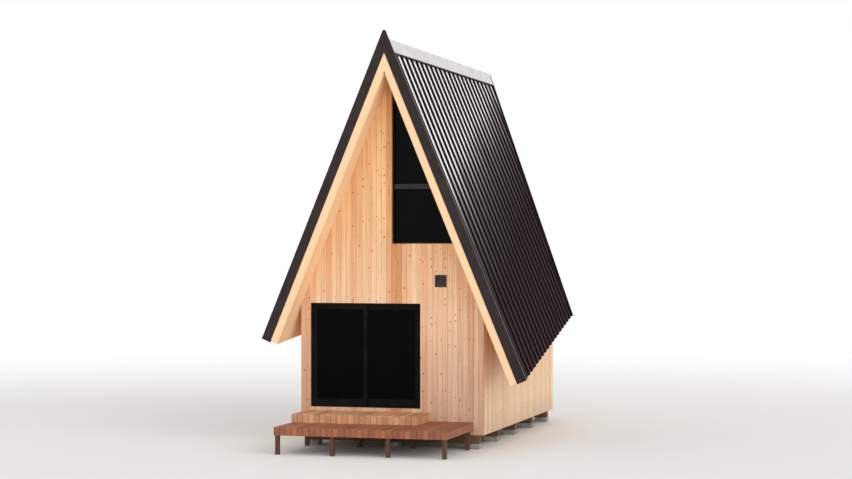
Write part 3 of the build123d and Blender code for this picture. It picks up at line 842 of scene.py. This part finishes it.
def deck(piece, settings, wood):
    """Top boards that run from front to back, and upright edge boards of the same width.

    The edge boards stand back from the top boards' edge by the height of a screw's head. Gives the
    screws: pairs across each top board in three rows, and one near each end of an edge board.
    """
    low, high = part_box(f"{piece}_boards")
    frame_low, frame_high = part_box(f"{piece}_frame")
    step_low, step_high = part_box("upper_step_boards")
    gap, width = settings.board_gap, settings.board_width
    # How far screws are from the ends of the top boards, their sides, and edge boards' ends
    row_inset, side_inset, end_inset = 0.045, 0.028, 0.03
    top_face = high.z - SCREW_HEAD
    first, last = even_row(low.x, high.x, width, gap)
    boards = plank_row(first, last, (low.z, top_face), (low.y, high.y), (0, 2, 1), width)
    top = make_piece(f"{piece}_planks", [boards], wood)
    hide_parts(f"{piece}_boards")
    pairs = np.concatenate([first + side_inset, last - side_inset])
    behind = step_low.y if piece == "lower_deck" else high.y
    rows = np.linspace(low.y + row_inset, behind - row_inset, 3)
    screws = [screw_heads(pairs, rows, top_face, (0, 1, 2), 1)]
    if piece == "lower_deck":
        # Beside the step its boards run on to the wall
        clear = pairs[pairs > step_high.x + side_inset]
        screws.append(screw_heads(clear, [high.y - row_inset], top_face, (0, 1, 2), 1))

    # Each row of edge boards counts on from a number of its own, so that its tones differ
    inset = Vector((SCREW_HEAD,) * 3)
    outer_low, outer_high = low + inset, high - inset
    under_top = 0.0005
    heights = (frame_low.z, low.z - under_top)
    ends = np.array(heights) + np.array([end_inset, -end_inset])
    depth = (outer_low.y, frame_low.y)
    edges = [plank_row(first, last, depth, heights, (0, 1, 2), width, tone=40)]
    screws.append(screw_heads((first + last) / 2, ends, outer_low.y, (0, 2, 1), -1))
    first, last = even_row(frame_low.y, frame_high.y, width, gap)
    for outer, inner, outward, tone in (
        (outer_low.x, frame_low.x, -1, 80),
        (outer_high.x, frame_high.x, 1, 120),
    ):
        depth = (min(outer, inner), max(outer, inner))
        edges.append(plank_row(first, last, depth, heights, (1, 0, 2), width, tone=tone))
        screws.append(screw_heads((first + last) / 2, ends, outer, (1, 2, 0), outward))
    make_piece(f"{piece}_edge_boards", edges, wood)
    return screws


def screw_heads(across, along, face, axes, outward):
    """Low domed screw heads on a face, at every crossing of two lists of places.

    Each is a profile of radius against height, from under the face over a dome to a round socket,
    carried round in eight steps. axes gives the direction of each list and the one out of the face.
    """
    radius = np.array([0.0048, 0.0048, 0.0040, 0.0024, 0.0016, 0.0014])
    height = np.array([-0.4, 0.4, 0.85, 1.0, 0.95, 0.3]) * SCREW_HEAD
    angle = np.arange(8) * math.pi / 4
    first, second = (grid.ravel()[:, None, None] for grid in np.meshgrid(across, along))
    sections = np.empty((first.size, len(radius), 8, 3))
    sections[..., axes[0]] = first + radius[:, None] * np.cos(angle)
    sections[..., axes[1]] = second + radius[:, None] * np.sin(angle)
    sections[..., axes[2]] = face + outward * height[:, None]
    return sections


def even_row(start, end, width, gap):
    """Edges of the boards that share a length evenly, each about the given width with its gap."""
    count = max(1, round((end - start) / width))
    first = start + np.arange(count) * (end - start) / count + gap / 2
    return first, first + (end - start) / count - gap


def plank_row(first, last, through, along, axes, width, tone=0):
    """Planks side by side: an eight-point profile with eased edges, carried along each plank.

    axes gives the directions across the row, through the planks and along them. The UV map counts
    one board width to each plank, from a number that picks their tones.
    """
    ease = 0.002
    inner, outer = through
    left, right = first + ease, last - ease
    across = np.stack([left, right, last, last, right, left, first, first], axis=-1)
    near, far = inner + ease, outer - ease
    depth = np.array([inner, inner, near, far, outer, outer, far, near])
    sections = np.empty((len(first), 2, 8, 3))
    sections[..., axes[0]] = across[:, None, :]
    sections[..., axes[1]] = depth
    sections[..., axes[2]] = np.array(along)[:, None]
    index = np.arange(len(first))[:, None, None] + tone
    local = sections[..., axes[0]] - first[:, None, None] + (width - (last - first)[0]) / 2
    return sections, np.stack([index * width + local, sections[..., axes[2]]], axis=-1)


class CABIN_OT_structure(bpy.types.Operator):
    """Timber of the walls, floors, beams and bearers, and the concrete piers"""

    bl_idname = "cabin.structure"
    bl_label = "Structure"

    def execute(self, context):
        # Planed spruce lines the rooms: pale, with a dull sheen
        tones = [(0.0, "e2bb86"), (1.0, "d2a672")]
        across = board_material("planed_spruce_across", 0.12, tones, axes=(0, 2))
        names = ["front_gable_wall", "front_wall_left", "front_wall_right", "front_wall_base"]
        finish_nodes([*names, "party_wall_left", "party_wall_right"], across)
        sides = board_material("planed_spruce_sides", 0.12, tones, axes=(1, 2))
        finish_nodes(["side_wall_left", "side_wall_right"], sides)
        # Oiled oak floor boards: browner than the walls
        tones = [(0.0, "b48a5c"), (1.0, "a07548")]
        floor = board_material("oiled_oak_floor", 0.14, tones, axes=(0, 1))
        finish_nodes(["floor_platform", "loft_floor"], floor)
        beam = timber_material("sawn_beam_timber", "6b4f38", (625, 100, 100), roughness=0.75)
        finish_nodes(["base_beams"], beam)
        bearer = timber_material("sawn_bearer_timber", "6b4f38", (100, 625, 100), roughness=0.75)
        finish_nodes(["floor_bearers"], bearer)
        finish_nodes(["foundation_piers"], cast_concrete())
        return {"FINISHED"}


def cast_concrete():
    """Cast concrete: matt and grey, clouded, with fine pits."""
    cloud, pits = ((170,), {"Detail": 8.0}), ((7,), {"Detail": 3.0})
    tones = [(0.3, "77746f"), (0.7, "9b9893")]
    looks = {"Roughness": 0.9}
    return mottled_material("cast_concrete", [cloud, pits], tones, (0.4, 0.003), looks)


class CABIN_OT_stage(bpy.types.Operator):
    """The plain pale floor, the soft light and the camera"""

    bl_idname = "cabin.stage"
    bl_label = "Stage"

    def execute(self, context):
        settings = context.scene.cabin_stage
        context.scene.view_settings.view_transform = "Standard"
        make_floor(context.scene, settings)
        make_light(context.scene, settings)
        make_camera(context.scene, settings)
        return {"FINISHED"}


def make_floor(scene, settings):
    """A flat disc just under the cabin, pale near it and plain white far out."""
    radius, corners = 400.0, 96
    angle = np.linspace(0, 2 * math.pi, corners + 1)[:-1]
    height = np.full(corners, -0.001)
    rim = np.column_stack([radius * np.cos(angle), radius * np.sin(angle), height])
    mesh = bpy.data.meshes.new("stage_floor")
    mesh.from_pydata(rim.tolist(), [], [list(range(corners))])
    floor = bpy.data.objects.new("stage_floor", mesh)
    scene.collection.objects.link(floor)
    material, add = new_material("plain_floor")
    looks = {"Base Color": tuple(settings.floor_colour), "Roughness": 0.9}
    surface = add("ShaderNodeBsdfPrincipled", looks)
    place = add("ShaderNodeTexCoord").outputs["Object"]
    far = add("ShaderNodeVectorMath", [place], operation="LENGTH").outputs[1]
    near, off = 14.0, 42.0
    fade = add("ShaderNodeMapRange", [far, near, off], interpolation_type="SMOOTHSTEP")
    seen = directly_seen(add)
    share = add("ShaderNodeMath", [fade, seen], operation="MULTIPLY")
    white = add("ShaderNodeEmission", {"Strength": 1.0})
    mixed = add("ShaderNodeMixShader", [share, surface, white])
    add("ShaderNodeOutputMaterial", {"Surface": mixed})
    mesh.materials.append(material)


def make_light(scene, settings):
    """An even sky, a broad soft light from the front right, and a weaker one from the front left.

    The first is low enough to reach under the left slope.
    """
    scene.world = bpy.data.worlds.new("plain_sky")
    scene.world.use_nodes = True
    scene.world.node_tree.nodes.clear()
    add = partial(add_node, scene.world.node_tree)
    level = add("ShaderNodeMapRange", {0: directly_seen(add), 3: settings.sky_strength, 4: 1.0})
    sky = add("ShaderNodeBackground", [(1, 1, 1, 1), level])
    add("ShaderNodeOutputWorld", [sky])
    softness = math.radians(70)
    for name, strength, direction in (
        ("key_light", settings.key_strength, (0.84, -0.64, 0.16)),
        ("fill_light", settings.fill_strength, (-0.35, -0.93, 0.12)),
    ):
        lamp = bpy.data.lights.new(name, "SUN")
        lamp.energy = strength
        lamp.angle = softness
        light = bpy.data.objects.new(name, lamp)
        light.rotation_euler = Vector(direction).to_track_quat("Z", "Y").to_euler()
        scene.collection.objects.link(light)


def make_camera(scene, settings):
    """The camera where the photo's stood, with a longer lens turned to the cabin."""
    photo_place = (13.185, -44.400, 4.699)
    data = bpy.data.cameras.new("photo_camera")
    data.sensor_width = 36
    data.lens = settings.lens
    data.clip_end = 1000
    camera = bpy.data.objects.new("photo_camera", data)
    camera.location = photo_place
    camera.rotation_euler = (math.pi / 2 + settings.camera_rise, 0, settings.camera_turn)
    scene.collection.objects.link(camera)
    scene.camera = camera


def directly_seen(add):
    """1 where the camera, a reflection or glass shows the surface, 0 where it only gives light."""
    path = add("ShaderNodeLightPath").outputs
    seen = path["Is Camera Ray"]
    for ray in ("Is Glossy Ray", "Is Transmission Ray"):
        seen = add("ShaderNodeMath", [seen, path[ray]], operation="MAXIMUM")
    return seen


class CABIN_PT_panel(bpy.types.Panel):
    """Lists the groups of pieces in the sidebar"""

    bl_idname = "CABIN_PT_panel"
    bl_label = "Cabin finishes"
    bl_space_type = "VIEW_3D"
    bl_region_type = "UI"
    bl_category = "Cabin"

    def draw(self, context):
        for group in OPERATORS:
            self.layout.operator(group.bl_idname)


OPERATORS = (
    CABIN_OT_structure,
    CABIN_OT_front_cladding,
    CABIN_OT_side_cladding,
    CABIN_OT_soffits,
    CABIN_OT_roof_metal,
    CABIN_OT_glazing,
    CABIN_OT_decks,
    CABIN_OT_stage,
)
SETTINGS = {
    "cabin_cladding": CladdingSettings,
    "cabin_roof": RoofSettings,
    "cabin_deck": DeckSettings,
    "cabin_stage": StageSettings,
}
CLASSES = (*SETTINGS.values(), *OPERATORS, CABIN_PT_panel)


def register():
    for group in CLASSES:
        bpy.utils.register_class(group)
    for name, group in SETTINGS.items():
        setattr(bpy.types.Scene, name, bpy.props.PointerProperty(type=group))


def unregister():
    for name in SETTINGS:
        delattr(bpy.types.Scene, name)
    for group in reversed(CLASSES):
        bpy.utils.unregister_class(group)


def main():
    """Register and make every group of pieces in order."""
    register()
    for group in OPERATORS:
        getattr(bpy.ops.cabin, group.bl_idname.split(".")[1])()


if __name__ == "__main__":
    main()
